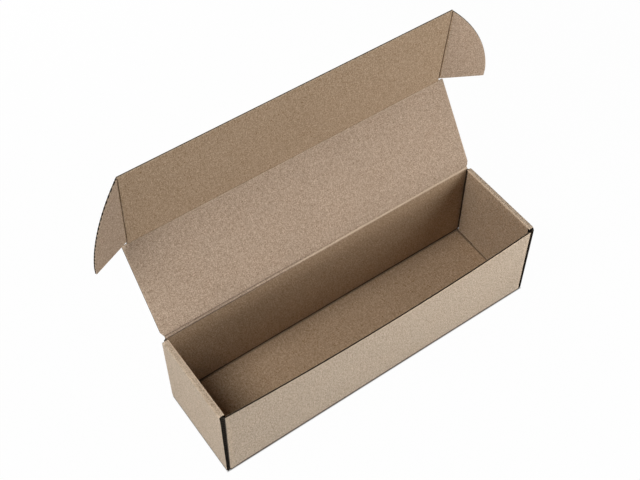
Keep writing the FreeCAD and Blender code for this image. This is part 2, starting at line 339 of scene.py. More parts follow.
class Sheet:
    """Three plies of board over a region, as closed thin shells."""

    def __init__(self, board):
        self.pitch, self.liner, self.medium, self.crush = (
            size / MM for size in (board.pitch, board.liner, board.medium, board.crush))

    def depth(self, ply, region, p, q):
        """Middle of a ply below the outside: a liner lies half its thickness in from its
        face, less the squeeze; the medium is a sine wave across the flutes between them."""
        out, inn = region.squeeze(p, q, self)
        outer = self.liner / 2 + out
        inner = BOARD - self.liner / 2 - inn
        if ply == "outer":
            return outer, self.liner
        if ply == "inner":
            return inner, self.liner
        reach = np.maximum((inner - outer - self.liner - self.medium) / 2, LEAST_WAVE)
        v = region.blank(p, q)[1]
        return (outer + inner) / 2 + reach * np.sin(2 * math.pi * v / self.pitch), self.medium

    def shell(self, ply, region):
        """Vertices, faces, sheet coordinates and marks of one ply.  Its two faces are set
        half a thickness either side of the middle, and every open edge is closed with a
        rim."""
        waved = ply == "medium"
        p, q, whole, threes = welded(*region.grid(self.pitch / SAMPLES if waved else None),
                                     region.hole, region.short if waved else None)
        middle, thick = self.depth(ply, region, p, q)
        top = np.stack(region.fold(p, q, middle - thick / 2), 1)
        low = np.stack(region.fold(p, q, middle + thick / 2), 1)
        rim = open_edges(whole, threes)
        n = len(p)
        faces = [whole, threes, whole[:, ::-1] + n, threes[:, ::-1] + n,
                 np.stack([rim[:, 1], rim[:, 0], rim[:, 0] + n, rim[:, 1] + n], 1)]
        used = np.zeros(2 * n, bool)
        for f in faces:
            used[f.ravel()] = True
        renumber = np.cumsum(used) - 1
        edge, bend = region.marks(p, q)
        # The inner liner takes the region's painted shade in place of its bend marks.
        if ply == "inner" and region.shade:
            bend = -region.shade(p, q)
        # Share of the browner painted-shade copy of the liner's colour.
        brown = region.inside if ply == "inner" else region.kept
        kept = brown(p, q) if brown else 0 * p
        extra = np.stack([np.broadcast_to(mark, p.shape) for mark in (edge, bend, kept)], 1)
        blank = np.stack(region.blank(p, q), 1)
        return (np.concatenate([top, low])[used], [renumber[f] for f in faces],
                np.concatenate([blank, blank])[used], np.concatenate([extra, extra])[used])


# Finish of each group of faces in a ply, which are the quads and triangles of its outer
# side, those of its inner side, and its rim: 0 is its face, 1 its cut, 2 the hidden side.
FACE_FINISH = {"outer": (0, 0, 2, 2, 1), "inner": (2, 2, 0, 0, 1), "medium": (0, 0, 0, 0, 1)}


def linked(name, data):
    """A new object in the scene."""
    obj = bpy.data.objects.new(name, data)
    bpy.context.scene.collection.objects.link(obj)
    return obj


def build_ply(name, sheet, ply, regions, finishes):
    """One object from the same ply of several regions of the blank."""
    points, faces, slots, blanks, extras, start = [], [], [], [], [], 0
    for region in regions:
        xyz, groups, blank, extra = sheet.shell(ply, region)
        tris = np.concatenate([g[:, [0, k, k + 1]] for g in groups
                               for k in range(1, g.shape[1] - 1)])
        volume = np.einsum("ij,ij->i", xyz[tris[:, 0]],
                           np.cross(xyz[tris[:, 1]], xyz[tris[:, 2]])).sum()
        if volume < 0:
            groups = [g[:, ::-1] for g in groups]
        for k, g in enumerate(groups):
            faces += (g + start).tolist()
            slots += [FACE_FINISH[ply][k]] * len(g)
        points.append(xyz)
        blanks.append(blank)
        extras.append(extra)
        start += len(xyz)
    points, blanks, extras = map(np.concatenate, (points, blanks, extras))
    mesh = bpy.data.meshes.new(name)
    mesh.from_pydata((points * MM).tolist(), [], faces)
    uv = mesh.uv_layers.new(name="blank")
    loops = np.empty(len(mesh.loops), np.int32)
    mesh.loops.foreach_get("vertex_index", loops)
    uv.data.foreach_set("uv", (blanks[loops] * MM).astype(np.float32).ravel())
    for k, label in enumerate(("edge", "bend", "kept")):
        attribute = mesh.attributes.new(label, "FLOAT", "POINT")
        attribute.data.foreach_set("value", extras[:, k].astype(np.float32))
    for finish in finishes:
        mesh.materials.append(finish)
    mesh.polygons.foreach_set("material_index", np.array(slots, np.int32))
    mesh.shade_smooth()
    mesh.set_sharp_from_angle(angle=SHARP)
    mesh.update()
    return linked(name, mesh)


# ---- regions of the blank ----

def quarter(radius):
    return radius * math.pi / 2


FLOOR_MID = FLAP_FOOT - FOLD_R + quarter(FOLD_R) + HALF_W - FOLD_R    # path length
HINGE_V = FLOOR_MID + LID_AT[2] - FLAP_FOOT                           # on the flat sheet
TUCK_V = HINGE_V + LID_DEPTH


def all_over(value):
    """The same value at every point of a region."""
    return lambda p, q: value + 0 * p


def crushed(outer, inner, distance):
    """Squeeze of both liners at a cut: their shares of the sheet's crush, times a bell of
    distance(p, q) from it."""
    def squeeze(p, q, sheet):
        near = bell(distance(p, q))
        return outer * sheet.crush * near, inner * sheet.crush * near

    return squeeze


def cut_marks(distance):
    """Marks of a flat panel: just how close its cut is."""
    return lambda p, q: (closeness(distance(p, q)), 0 * p)


def panel_grid(stations, half):
    """Grid of a panel that reaches half(q) to both sides of its middle line."""
    def grid(step=None):
        rows = dense(stations, step)
        h = half(rows)
        p = between(-h, h, 1 if step else 12)
        return p, each_row(rows, p)

    return grid


def wall_grid(heights, cols, top, full):
    """Grid of a wall from its foot to its edge top(p), which is uneven.  The heights, made
    for an edge at full, are stretched to it, or cut off there where they follow the wave."""
    def grid(step=None):
        q, p = np.meshgrid(dense(heights, step), cols, indexing="ij")
        if step:
            return p, np.minimum(q, top(p))
        share = (q - FLAP_FOOT) / (full - FLAP_FOOT)
        return p, FLAP_FOOT + share * (top(p) - FLAP_FOOT)

    return grid


def base_region():
    """Floor with the feet of both long walls: a section in the YZ plane carried along X."""
    foot = FLAP_FOOT - FOLD_R
    path = Path((-HALF_W, FLAP_FOOT), -90, [("run", foot), ("turn", FOLD_R, 90),
                ("run", 2 * (HALF_W - FOLD_R)), ("turn", FOLD_R, 90), ("run", foot)])
    wall_end, floor_end = WALL_OUT - FOLD_R, HALF_L - FOLD_R
    slot_in, slot_out = END_IN - SLOT, END_IN + BOARD + SLOT
    slot_q = TAB_HALF + SLOT
    turn = foot + quarter(FOLD_R)
    seam_shade = (END_IN - 1.9, END_IN - 1.0)     # painted shade on the floor from here towards an end

    def from_edge(q):
        return np.minimum(q, path.length - q)

    def grid(step=None):
        near = np.array([STEP, 1.0, 1.6])
        rows = dense(union(path.stations, turn + near, path.length - turn - near,
                           FLOOR_MID - slot_q, FLOOR_MID + slot_q), step)
        x = np.array([*seam_shade, slot_in, slot_out, wall_end, floor_end])
        cols = union(-x, x, wall_end * np.linspace(-1, 1, 25))
        half = np.interp(rows, [turn, turn + STEP, path.length - turn - STEP,
                                path.length - turn],
                         [wall_end, floor_end, floor_end, wall_end])
        q, p = np.meshgrid(rows, cols, indexing="ij")
        return np.clip(p, -half[:, None], half[:, None]), q

    # Painted shade along both long sides: the wall foot and the bottom crease, fading out on
    # the floor 1.6 mm past the crease; outside as marks, inside as the inner liner's shade.
    def dark(q):
        return np.interp(from_edge(q), [0, foot, turn, turn + 1.0, turn + 1.6],
                         [1.8, 1.8, 1.2, 1, 0])

    def score(q):
        return 0.55 * bell(from_edge(q) - foot - quarter(FOLD_R) / 2, 0.75)

    return Region(grid, lambda p, q, depth: (p, *path.at(q, depth)),
                  lambda p, q: (p, q - FLOOR_MID),
                  lambda p, q, sheet: (0 * p, score(q)),
                  lambda p, q: (0 * p, -dark(q)),
                  hole=lambda p, q: (np.abs(p) > slot_in) & (np.abs(p) < slot_out)
                  & (np.abs(q - FLOOR_MID) < slot_q),
                  shade=lambda p, q: np.maximum(dark(q), np.interp(np.abs(p), seam_shade, [0, 1.2])),
                  # Painted shade: the browner copy of the inner liner all over the floor.
                  inside=all_over(1))


def front_region():
    """Front wall with its corner flaps.  The section at a height is flap, corner, wall,
    corner, flap; the wall bows out by a parabola along X that grows with height.  The
    corners are drawn in from the end panels by a length that grows with height, and the
    flaps run back out to their place by a smooth step.  p counts along the section, up to
    1 in the wall, 2 in a corner and 3 in a flap to either side; q is the height."""
    flap = union(np.linspace(-3, -2, 5), -2 - np.linspace(0, 0.085, 8))
    corner = np.linspace(-2, -1, 9)
    cols = union(flap, corner, np.linspace(-1, 1, 29), -corner, -flap)
    cy = -HALF_W + FOLD_R
    free = cy + FLAP_REACH
    wall_flat, corner_flat = 161.3, 3.0     # half the wall and a corner on the flat sheet
    dark_to = FLAP_FOOT + 1.3

    def section(p, z, depth):
        grow = np.clip((z - FLAP_FOOT) / (FRONT_TOP - FLAP_FOOT), 0, 1)
        foot = np.where(p < 0, *CORNER_FOOT)
        drawn = foot + (CORNER_IN - foot) * grow
        cx = WALL_OUT - drawn - FOLD_R
        side, t = np.sign(p), np.abs(p)
        a = (2 - np.clip(t, 1, 2)) * math.pi / 2
        x = np.where(t <= 1, p * cx, side * (cx + (FOLD_R - depth) * np.cos(a)))
        y = np.where(t <= 1, -HALF_W + depth - FRONT_BOW * grow * (1 - np.minimum(t, 1) ** 2),
                     np.where(t <= 2, cy - (FOLD_R - depth) * np.sin(a),
                              cy + (t - 2) * (free - cy)))
        return x + np.where(t > 2, side * drawn * smooth((y - cy) / CORNER_BACK), 0), y

    def top(p):
        _, y = section(p, np.full_like(p, FRONT_TOP), np.zeros_like(p))
        cut = np.interp(y, [-HALF_W - 1, cy, free + 1], [FRONT_TOP, 87.9, 84.0])
        return np.where(np.abs(p) <= 1, FRONT_TOP, cut)

    def from_top(p, q):
        return top(p) - q

    def blank(p, q):
        t = np.abs(p)
        u = np.interp(t, [0, 1, 2, 3], np.cumsum([0, wall_flat, corner_flat, FLAP_REACH]))
        return np.sign(p) * u, -(FLOOR_MID + q - FLAP_FOOT)

    def marks(p, q):
        t = np.abs(p)
        # Lighter fibre on the corner folds, and painted shade in the recess where a corner is
        # drawn in behind the end panel.
        corner_fibre_and_shade = np.interp(t, [0.985, 1, 1.4, 1.6, 2.08, 2.1], [0, 0.6, 0.6, -2, -2, 0])
        # Lighter cut fibre along the top edge, growing to the right, which is partly painted
        # highlight.
        lip = np.interp(from_top(p, q), [0, 0.9, 1.7], [1.3, 1.2, 0]) \
            * np.interp(p, [-1, -0.3, 0.2], [0.2, 0.5, 1])
        # Painted shade along the foot of the wall.
        foot = np.interp(q, [FLAP_FOOT, dark_to], [1.8, 0])
        return closeness(from_top(p, q)), np.where(t < 1, corner_fibre_and_shade + lip - foot, corner_fibre_and_shade)

    heights = union(np.linspace(FLAP_FOOT, 84, 8), dark_to, 86, 87,
                    FRONT_TOP - np.array([0.9, 0.35, 0]))
    return Region(wall_grid(heights, cols, top, FRONT_TOP),
                  lambda p, q, depth: (*section(p, q, depth), q), blank,
                  crushed(0.1, 0.2, from_top), marks,
                  # Painted shade: the browner copy of the inner liner all over the wall's
                  # inside.
                  short=lambda p, q: from_top(p, q) < SHORT, inside=all_over(1))


def rear_region():
    """Rear wall up to the scored band of the lid hinge, with its corner flaps: a section
    in the XY plane, cut off at a height that changes along it."""
    run = 2 * (WALL_OUT - FOLD_R)
    path = Path((WALL_OUT, HALF_W - FOLD_R - FLAP_REACH), 90,
                [("run", FLAP_REACH), ("turn", FOLD_R, 90), ("run", run),
                 ("turn", FOLD_R, 90), ("run", FLAP_REACH)])
    wall_from = FLAP_REACH + quarter(FOLD_R)
    top_z = LID_AT[2] - LID_CREASE
    flap_top = 88.7

    def from_edge(p):
        return np.minimum(p, path.length - p)

    def top(p):
        return np.interp(from_edge(p), [0, FLAP_REACH, wall_from, wall_from + STEP],
                         [84.1, flap_top, flap_top, top_z])

    def marks(p, q):
        edge = from_edge(p)
        return (np.where(q > flap_top + 0.1, closeness(edge - wall_from), 0),
                np.interp(edge, [FLAP_REACH - 3, FLAP_REACH, wall_from, wall_from + 1.4],
                          [0, 1, 1, 0]))

    # Painted shade on the inner liner about each corner fold, where it shows through the slit
    # behind an inner end panel.
    def shade(p, q):
        return np.interp(from_edge(p), [FLAP_REACH - 4, FLAP_REACH - 3, wall_from + 0.4,
                                        wall_from + 1.4], [0, 1.8, 1.8, 0])

    half = union(np.linspace(0, FLAP_REACH, 5), FLAP_REACH - np.array([4.0, 3.0]),
                 wall_from + np.array([STEP, 0.4, 1.4]))
    cols = union(path.stations, half, path.length - half,
                 np.linspace(wall_from, wall_from + run, 9))
    return Region(wall_grid(union(np.linspace(FLAP_FOOT, top_z, 9)), cols, top, top_z),
                  lambda p, q, depth: (*path.at(p, depth), q),
                  lambda p, q: (path.length / 2 - p, FLOOR_MID + q - FLAP_FOOT),
                  lambda p, q, sheet: (0 * p, 0 * p), marks, shade=shade,
                  # Painted shade: the browner copy of the inner liner all over the wall's
                  # inside.
                  inside=all_over(1))


def end_region(side):
    """Outer end panel, rolled-over band and inner panel with its locking tab: a section in
    the XZ plane carried along Y between two outlines.  The flutes run round the roll."""
    up = HEIGHT - 2 * FOLD_R
    band = HALF_L - END_IN - FOLD_R - ROLL_R
    foot = BOARD + 1.3
    down = HEIGHT - ROLL_R - foot
    path = Path((HALF_L - FOLD_R, 0), 0,
                [("turn", FOLD_R, 90), ("run", up), ("turn", FOLD_R, 90), ("run", band),
                 ("turn", ROLL_R, 90), ("run", down), ("run", foot - 0.3)], 12)
    q1 = quarter(FOLD_R)                    # end of the bottom crease
    q2 = q1 + up                            # start of the roll
    qi = q2 + q1 + band                     # start of the roll's inner bend
    q3 = qi + quarter(ROLL_R)               # end of the roll
    q4 = q3 + down                          # foot of the inner panel
    front, rear = -HALF_W + 2.3, HALF_W - 2.9
    chamfer = 0.9                           # off the corners of the tab
    low = ([0, q2 - 2.1, q2, q3, q3 + STEP, q4, q4 + STEP, path.length - chamfer,
            path.length],
           [END_FRONT, END_FRONT, front, front, -PANEL_TOP, -PANEL_LOW, -TAB_HALF, -TAB_HALF,
            -TAB_HALF + chamfer])
    high = ([0, q1, q1 + 2.7, q2 - 2.9, q2, q3, q3 + STEP, q4, q4 + STEP,
             path.length - chamfer, path.length],
            [HALF_W - 2.14, HALF_W - 1.25, HALF_W, HALF_W, rear, rear, PANEL_TOP, PANEL_LOW,
             TAB_HALF, TAB_HALF, TAB_HALF - chamfer])
    worn_at = [0, q1 + 1, q1 + 2.2, q2 - 0.6, q2 + 0.3, qi - 0.4, qi, q3, q3 + 0.4]

    def grid(step=None):
        rows = union(path.stations, low[0], high[0], worn_at, np.linspace(q1, q2, 7),
                     q3 + 1.6, np.linspace(q3, q4, 7))
        a, b = np.interp(rows, *low), np.interp(rows, *high)
        if not step:
            q = between(a, b, 96)
            return each_row(rows, q), q
        cols = dense(np.array([END_FRONT, END_FRONT + 0.4, front, -TAB_HALF, TAB_HALF, rear,
                               HALF_W - 0.4, HALF_W]), step)
        p, q = np.meshgrid(rows, cols, indexing="ij")
        return p, np.clip(q, a[:, None], b[:, None])

    def inward(p, q):
        return np.minimum(q - np.interp(p, *low), np.interp(p, *high) - q)

    def fold(p, q, depth):
        x, z = path.at(p, depth)
        return side * x, q, z

    def marks(p, q):
        # Painted shade along the bottom crease; lighter raised fibre over the band, and more
        # on the roll's inner bend, where it is partly painted highlight.
        roll = np.interp(p, worn_at, [-1.3, -1.3, 0, 0, 0.42, 0.42, 1.1, 1.1, 0])
        cut = np.where(np.abs(q) > TAB_HALF, closeness(np.abs(q4 - p)) * (p > q3), 0)
        # Painted shade on the outer panel's front cut edge and the liner beside it.
        slit = (q - np.interp(p, *low) < 0.3) & (p > q1) & (p < q2)
        return np.maximum(closeness(inward(p, q)), cut), np.where(slit, -1.8, roll)

    def squeeze(p, q, sheet):
        near = bell(inward(p, q))
        roll = np.interp(p, [q2 - 1.6, q2, q3, q3 + 1.6], [0, 1, 1, 0])
        tight = np.interp(p, [qi - 0.6, qi, q3, q3 + 0.6], [0, 1, 1, 0])
        ridge = 0.035 * roll * (1 + np.cos(2 * math.pi * q / sheet.pitch))
        score = 0.5 * bell(p - q1 / 2, 0.75)
        return 0.9 * sheet.crush * near + ridge, 0.2 * sheet.crush * near + 0.2 * roll \
            + 0.3 * tight + score

    return Region(grid, fold, lambda p, q: (side * (HALF_L - FOLD_R + p), q), squeeze, marks,
                  # Painted shade: the end's inner liner is dark all over, being seen only in
                  # slits; the outer liner takes the browner painted-shade copy on the band and
                  # more on the inner panel.
                  shade=all_over(2), short=lambda p, q: inward(p, q) < SHORT,
                  kept=lambda p, q: np.interp(p, [q2, q2 + 0.3, q3, q3 + 0.4],
                                              [0, 0.3, 0.3, 0.7]))


ALONG = np.array([1.0, 0, 0])


def leaning(lean):
    """Directions up a panel that rises from a crease along X, leaning back, and out of
    its outer face."""
    return (np.array([0, math.sin(lean), math.cos(lean)]),
            np.array([0, math.cos(lean), -math.sin(lean)]))


def carried(start, along, up, out):
    """Fold of a flat panel: p along it, q up it, and the depth in from its outer face."""
    def fold(p, q, depth):
        n = MIDDLE - depth
        return tuple(start[k] + p * along[k] + q * up[k] + n * out[k] for k in range(3))

    return fold


def lid_half(q):
    """Half the lid's width at a height above its hinge, less at the cut corners."""
    return np.interp(q, LID_CORNER, [LID_HALF - LID_CORNER_IN, LID_HALF])


def lid_region():
    """Lid between its two creases, with cut corners beside the hinge."""
    def inward(p, q):
        return lid_half(q) - np.abs(p)

    rows = union(LID_CREASE, 4.2, LID_CORNER[1], np.linspace(8, LID_DEPTH - TUCK_CREASE, 9))
    return Region(panel_grid(rows, lid_half), carried(LID_AT, ALONG, *leaning(LID_LEAN)),
                  lambda p, q: (p, HINGE_V + q), crushed(0.2, 0.2, inward),
                  cut_marks(inward))


def tuck_region():
    """Tuck flap between the lid crease, the two ear creases and its cut top edge."""
    def half(q):
        return np.interp(q, [EAR_FOOT - STEP, EAR_FOOT, EAR_HEAD, EAR_HEAD + STEP],
                         [EAR_X, EAR_X - EAR_CREASE, EAR_X - EAR_CREASE, EAR_X])

    def from_top(p, q):
        return TUCK_TOP - q

    rows = union(TUCK_CREASE, EAR_FOOT - STEP, EAR_FOOT, np.linspace(8, 84, 9),
                 EAR_HEAD - 0.3, EAR_HEAD, EAR_HEAD + STEP,
                 TUCK_TOP - np.array([2.2, 0.6, 0.3, 0]))
    return Region(panel_grid(rows, half), carried(TUCK_AT, ALONG, *leaning(TUCK_LEAN)),
                  lambda p, q: (p, TUCK_V + q), crushed(0.8, 1.0, from_top),
                  cut_marks(from_top), short=lambda p, q: from_top(p, q) < 1.4,
                  # Painted shade: the browner copy of the inner liner over the tuck flap.
                  inside=all_over(TUCK_SHADE_BROWN))


EAR_R = ((EAR_HEAD - EAR_TIP) ** 2 + EAR_REACH ** 2) / (2 * EAR_REACH)


def ear_head(u):
    """Height of the ear's round edge at a distance from its crease."""
    return EAR_TIP + np.sqrt(np.maximum(EAR_R ** 2 - (u - EAR_REACH + EAR_R) ** 2, 0))


def ear_foot(u):
    """Height of its straight lower edge."""
    return EAR_FOOT + (EAR_TIP - EAR_FOOT) * np.clip(
        (u - EAR_LEVEL) / (EAR_REACH - EAR_LEVEL), 0, 1)


def ear_edge(v):
    """Distance of the ear's outline from its crease at a height: the lower edge up to the
    tip, which is rounded off, then the arc."""
    arc = EAR_REACH - EAR_R + np.sqrt(np.maximum(EAR_R ** 2 - (v - EAR_TIP) ** 2, 0))
    low = EAR_LEVEL + (EAR_REACH - EAR_LEVEL) * (v - EAR_FOOT) / (EAR_TIP - EAR_FOOT)
    blunt = EAR_REACH - 0.35 - 1.6 * np.clip(0.75 - (v - EAR_TIP + 0.2), 0, 1) ** 2
    return np.minimum(np.minimum(arc, low), blunt)


def ear_frame(side):
    """Start of an ear's crease, and the directions that go on straight from the tuck flap,
    out from the crease along the ear, up it and out of its outer face."""
    up, out = leaning(TUCK_LEAN)
    away, turn = np.array([side, 0.0, 0.0]), EAR_TURN[side]
    return (np.array([side * EAR_X, *TUCK_AT[1:]]), away,
            away * math.cos(turn) - out * math.sin(turn), up,
            out * math.cos(turn) + away * math.sin(turn))


def ear_region(side):
    """One ear from its scored band outwards."""
    start, _, *directions = ear_frame(side)
    highest = float(ear_head(np.array(EAR_CREASE)))
    arc = np.sin(np.linspace(0.02, math.pi / 2, 40))
    stations = union(np.linspace(ear_foot(EAR_CREASE), EAR_TIP - 0.4, 12),
                     np.linspace(EAR_TIP - 0.2, EAR_TIP + 1, 7),
                     EAR_TIP + (highest - EAR_TIP) * arc)

    def grid(step=None):
        rows = dense(stations, step)
        edge = np.maximum(ear_edge(rows), EAR_CREASE)
        p = between(np.full_like(edge, EAR_CREASE), edge, 2 if step else 6)
        return p, each_row(rows, p)

    def inward(p, q):
        return np.minimum(ear_edge(q) - p, np.minimum(q - ear_foot(p), ear_head(p) - q))

    return Region(grid, carried(start, *directions),
                  lambda p, q: (side * (EAR_X + p), TUCK_V + q), crushed(0.25, 0.25, inward),
                  cut_marks(inward))


def crease_region(at, before, out, along, bend, width, turns, limits, blank, groove,
                  flutes_cross, wear_and_painted_light, shade=None, inside=None):
    """Scored band between two panels.  s runs across the crease from -width to width and c
    along it.  The flat band is turned about the crease line by a share of the bend that
    goes from none to all as a smooth step between the two turns, and the score is pressed
    into its inner face.  limits(s) gives the ends of c; groove(s, c) is the score's depth;
    wear(s, c) lightens the paper as raised fibre, and on the lid's hinge it is painted light
    and shade; shade(s, c) is the painted shade of its inner face and inside(s, c) its share
    of the browner painted-shade copy of the inner liner."""
    across = np.linspace(-width, width, CREASE_LINES)

    def parts(p, q):
        return (p, q) if flutes_cross else (q, p)

    def by_parts(value):
        return value and (lambda p, q: value(*parts(p, q)))

    def grid(step=None):
        low, high = limits(across)
        if step and flutes_cross:
            rows = dense(np.array([low.min(), high.max()]), step)
            s, c = np.meshgrid(across, rows, indexing="ij")
            c = np.clip(c, low[:, None], high[:, None])
        else:
            c = between(low, high, 12)
            s = each_row(across, c)
        return parts(s, c)

    def fold(p, q, depth):
        s, c = parts(p, q)
        n, a = MIDDLE - depth, bend * smooth((s - turns[0]) / (turns[1] - turns[0]))
        ca, sa = np.cos(a), np.sin(a)
        return tuple(at[k] + c * along[k] + (s * ca - n * sa) * before[k]
                     + (s * sa + n * ca) * out[k] for k in range(3))

    def inward(s, c):
        low, high = limits(s)
        return np.minimum(c - low, high - c)

    def squeeze(p, q, sheet):
        s, c = parts(p, q)
        return 0.06 * bell(s, 0.8), groove(s, c)

    return Region(grid, fold, by_parts(blank), squeeze,
                  by_parts(lambda s, c: (closeness(inward(s, c)), wear_and_painted_light(s, c))),
                  shade=by_parts(shade), inside=by_parts(inside))


def lid_crease_region():
    """Hinge band between rear wall and lid.  From the top of the wall the inner face leans
    back in one flat strip, sinking into the board, and a step at the second score brings
    it up to the lid."""
    def groove(s, c):
        depth = 0.9 + 0.06 * np.sin(c / 23.0) - 0.08 * np.clip(c / 160, -1, 1)
        return depth * np.interp(s, [-1.3, 0.55, 1.5, 1.85, LID_CREASE], [0, 1, 1, 0.05, 0])

    # Painted light on the hinge strip: a highlight from the middle to the right, and painted
    # shade on the left part.
    def wear_and_painted_light(s, c):
        return np.interp(c, [-95, 0], [-0.6, 1.6]) * bell(s + 0.55, 1.0)

    # Painted shade along both score lines, strongest at the left, less the painted light
    # above, for the inner face.
    def shade(s, c):
        scores = bell(s - 1.75, 0.45) + 0.8 * bell(s + 1.3, 0.5)
        return np.interp(c, [-60, 0], [1.3, 0.15]) * scores - wear_and_painted_light(s, c)

    return crease_region(LID_AT, *leaning(0.0), ALONG, LID_LEAN, LID_CREASE, (-1.2, -0.4),
                         lambda s: (-lid_half(s), lid_half(s)),
                         lambda s, c: (c, HINGE_V + s), groove, False, wear_and_painted_light, shade,
                         # Painted shade: the wall side of the band takes the browner copy of
                         # the inner liner.
                         lambda s, c: np.interp(s, [-LID_CREASE, -1.0], [1, 0]))


def tuck_crease_region():
    """Crease between lid and tuck flap."""
    def limits(s):
        half = np.interp(s, [-STEP, STEP], [LID_HALF, EAR_X])
        return -half, half

    def groove(s, c):
        return 0.36 * np.interp(s, [-0.75, 0.15, 0.3, 1.0], [0, 1, 1, 0]) \
            - 0.07 * bell(s + 0.95, 0.3)

    return crease_region(TUCK_AT, *leaning(LID_LEAN), ALONG, TUCK_LEAN - LID_LEAN,
                         TUCK_CREASE, (0.0, 0.7), limits, lambda s, c: (c, TUCK_V + s),
                         groove, False, lambda s, c: 0.75 * bell(s + 0.45, 0.7),
                         # Painted shade: the browner copy of the inner liner grows onto the
                         # tuck flap's side.
                         inside=lambda s, c: TUCK_SHADE_BROWN * np.interp(s, [0, 0.7], [0, 1]))


def ear_crease_region(side):
    """Crease between the tuck flap and an ear."""
    def limits(s):
        u = np.maximum(s, 0)
        return ear_foot(u), np.where(s <= 0, EAR_HEAD, ear_head(u))

    def groove(s, c):
        return 0.55 * bell(s, 0.42) - 0.06 * bell(np.abs(s) - 0.95, 0.25)

    up, out = leaning(TUCK_LEAN)
    at, away, *_ = ear_frame(side)
    return crease_region(at, away, out, up, -EAR_TURN[side], EAR_CREASE, (-1.15, 1.15),
                         limits, lambda s, c: (side * (EAR_X + s), TUCK_V + c), groove, True,
                         # Lighter fibre on the outer fold, painted shade along the inner
                         # crease line, and the browner painted-shade copy of the inner liner.
                         lambda s, c: 0.6 * bell(s, 0.8), lambda s, c: 1.1 * bell(s, 0.6),
                         all_over(TUCK_SHADE_BROWN))


# ---- finishes ----

class Value:
    """A number socket that can be used in a Python expression; each operator adds the
    Math node it stands for."""

    def __init__(self, finish, socket):
        self.finish, self.socket = finish, socket

    def __add__(self, other):
        return self.finish.math("ADD", self, other)

    def __sub__(self, other):
        return self.finish.math("SUBTRACT", self, other)

    def __rsub__(self, other):
        return self.finish.math("SUBTRACT", other, self)

    def __mul__(self, other):
        return self.finish.math("MULTIPLY", self, other)

    __radd__, __rmul__ = __add__, __mul__


class Finish:
    """A material being put together node by node."""

    def __init__(self, name):
        self.material = bpy.data.materials.new(name)
        self.material.use_nodes = True
        self.tree = self.material.node_tree
        self.tree.nodes.clear()

    def node(self, kind, settings=None, inputs=None, output=0):
        """Adds a node: its settings first, then the values or links of its inputs, by name
        or number.  Returns one output as a Value."""
        node = self.tree.nodes.new(kind)
        for key, value in (settings or {}).items():
            setattr(node, key, value)
        for key, value in (inputs or {}).items():
            socket = node.inputs[key]
            if isinstance(value, Value):
                self.tree.links.new(value.socket, socket)
            elif isinstance(value, tuple) and len(value) == 3 \
                    and len(getattr(socket, "default_value", value)) == 4:
                socket.default_value = (*value, 1.0)
            else:
                socket.default_value = value
        return Value(self, node.outputs[output])

    def math(self, operation, *values):
        return self.node("ShaderNodeMath", {"operation": operation}, dict(enumerate(values)))

    def part(self, vector, k):
        """One coordinate of a vector."""
        return self.node("ShaderNodeSeparateXYZ", {}, {0: vector}, k)

    def sheet(self):
        """Place on the flat sheet, in metres."""
        return self.node("ShaderNodeUVMap", {"uv_map": "blank"})

    def noise(self, vector, scale, detail=2.0, roughness=0.5, distortion=0.0):
        """Noise centred on nought, about -0.5 to 0.5."""
        return self.node("ShaderNodeTexNoise", {"noise_dimensions": "3D"},
                         {"Vector": vector, "Scale": scale, "Detail": detail,
                          "Roughness": roughness, "Distortion": distortion}) - 0.5

    def cells(self, vector, scale):
        """Scattered cells: the distance to the nearest one's middle and its own chance."""
        inputs = {"Vector": vector, "Scale": scale, "Randomness": 1.0}
        near, colour = (self.node("ShaderNodeTexVoronoi", {"feature": "F1"}, inputs, output)
                        for output in ("Distance", "Color"))
        return near, self.node("ShaderNodeSeparateColor", {}, {0: colour}, 0)

    def placed(self, vector, shift=(0, 0, 0), turn=0.0, stretch=(1, 1, 1)):
        return self.node("ShaderNodeMapping", {"vector_type": "POINT"},
                         {"Vector": vector, "Location": shift,
                          "Rotation": (0, 0, turn), "Scale": stretch})

    def clamp(self, value, low=0.0, high=1.0):
        return self.node("ShaderNodeClamp", {}, {"Value": value, "Min": low, "Max": high})

    def attribute(self, name):
        return self.node("ShaderNodeAttribute",
                         {"attribute_type": "GEOMETRY", "attribute_name": name}, {}, "Fac")

    def darkening(self):
        """Share of light lost in a closed fold, where the bend is marked below nought."""
        return self.clamp(0.0 - self.attribute("bend"), 0.0, 2.0) * FOLD_SHADE

    def flutes(self, sheet, pitch):
        """Sine of the place across the flutes: one wave to a flute."""
        return self.math("SINE", self.part(sheet, 1) * (2 * math.pi / pitch))

    def mix(self, share, first, second):
        return self.node("ShaderNodeMix", {"data_type": "RGBA"},
                         {"Factor": share, 6: first, 7: second}, 2)

    def scale_colour(self, colour, value):
        """Colour times a number."""
        return self.node("ShaderNodeVectorMath", {"operation": "SCALE"},
                         {0: colour, "Scale": value})

    def finish(self, colour, roughness, height, distance, specular=0.25):
        normal = self.node("ShaderNodeBump", {}, {"Strength": 1.0, "Distance": distance,
                                                  "Height": height})
        shader = self.node("ShaderNodeBsdfPrincipled", {},
                           {"Base Color": colour, "Roughness": roughness,
                            "Specular IOR Level": specular, "Normal": normal})
        return self.shown(shader)

    def shown(self, shader):
        """Links the shader to the surface and gives the finished material."""
        out = self.tree.nodes.new("ShaderNodeOutputMaterial")
        self.tree.links.new(shader.socket, out.inputs["Surface"])
        return self.material


FOLD_SHADE = 0.44


def tinted(colour, shares):
    """Colour times a share, or its red, green and blue each times their own."""
    return tuple(np.multiply(colour, shares).tolist())


